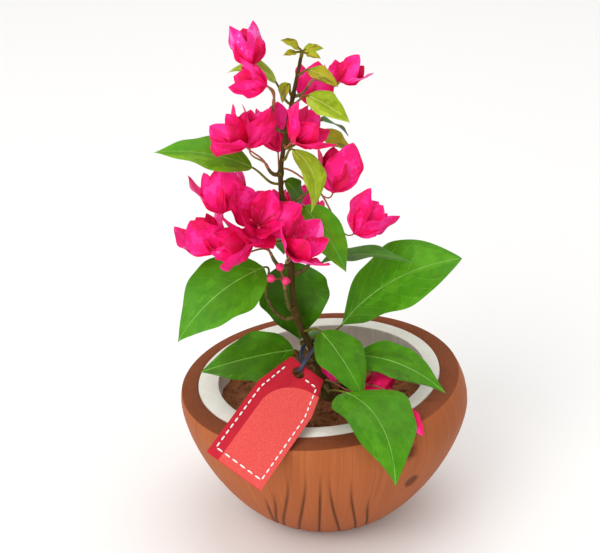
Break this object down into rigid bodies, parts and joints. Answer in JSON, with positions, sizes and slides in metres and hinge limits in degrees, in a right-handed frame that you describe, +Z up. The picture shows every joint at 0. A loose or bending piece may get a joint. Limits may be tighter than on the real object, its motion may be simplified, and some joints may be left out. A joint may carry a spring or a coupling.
{
  "type": "bougainvillea bush",
  "caption": "Young bougainvillea with a leaning stem, ovate leaves and pink papery bracts, in a lined half-nut pot of soil, with a card tag.",
  "frame": {"origin": "centre of the pot's flat underside", "axes": "+Z up, -Y the front of the plant, where the tag hangs, and +X to the viewer's right"},
  "size_m": [0.1722, 0.1852, 0.291],
  "materials": {
    "husk": "smooth brown nut shell, satin, with a darker cut edge",
    "flesh": "dried white coconut flesh, matt",
    "soil": "dark brown potting soil, matt and crumbly",
    "bark": "thin dark olive-brown bark",
    "twig": "green-brown young wood",
    "chip": "nearly black bark, matt",
    "leaf": "mid-green leaf, satin",
    "young_leaf": "yellow-green young leaf, satin",
    "bract": "hot pink papery bract, matt",
    "low_bract": "crimson papery bract, matt",
    "card": "red card in two tones with a white stitched line",
    "wire": "slate blue covered wire"
  },
  "bodies": {
    "root": {"pot_shell": "husk", "pot_lining": "flesh", "soil": "soil", "bark_chip": "chip", "stem": "bark", "hang_tag": "card", "tag_loop": "wire", "bough_low_front": "twig", "bough_low_right": "twig", "bough_low_left": "twig", "bough_left_low": "twig", "bough_bud": "twig", "bough_right_mid": "twig", "bough_left_mid": "twig", "bough_right_upper": "twig", "bough_left_upper": "twig", "bough_top_left": "twig", "bough_top_right": "twig", "bough_back_low": "twig", "bough_back_mid": "twig", "bough_back_high": "twig", "low_front_leaf": "leaf", "low_right_leaf": "leaf", "low_left_leaf": "leaf", "low_centre_leaf": "leaf", "low_blooms": "low_bract", "low_bract": "bract", "right_big_leaf": "leaf", "left_big_leaf": "leaf", "buds": "bract", "dark_leaf": "leaf", "right_narrow_leaf": "leaf", "left_blooms": "bract", "centre_bloom": "bract", "right_leaf": "leaf", "right_bloom": "bract", "upper_right_bloom": "bract", "light_leaf": "young_leaf", "stem_leaf": "leaf", "left_upper_leaf": "leaf", "left_upper_blooms": "bract", "centre_front_bloom": "bract", "centre_back_bloom": "bract", "back_right_bloom": "bract", "small_right_leaf": "leaf", "top_left_leaf": "young_leaf", "left_olive_leaf": "young_leaf", "top_left_blooms": "bract", "top_right_leaf": "young_leaf", "top_right_blooms": "bract", "olive_leaf": "young_leaf", "tip_leaves": "young_leaf", "back_low_leaves": "leaf", "back_low_blooms": "bract", "back_mid_leaves": "leaf", "back_mid_blooms": "bract", "back_high_leaves": "leaf"}
  },
  "joints": []
}
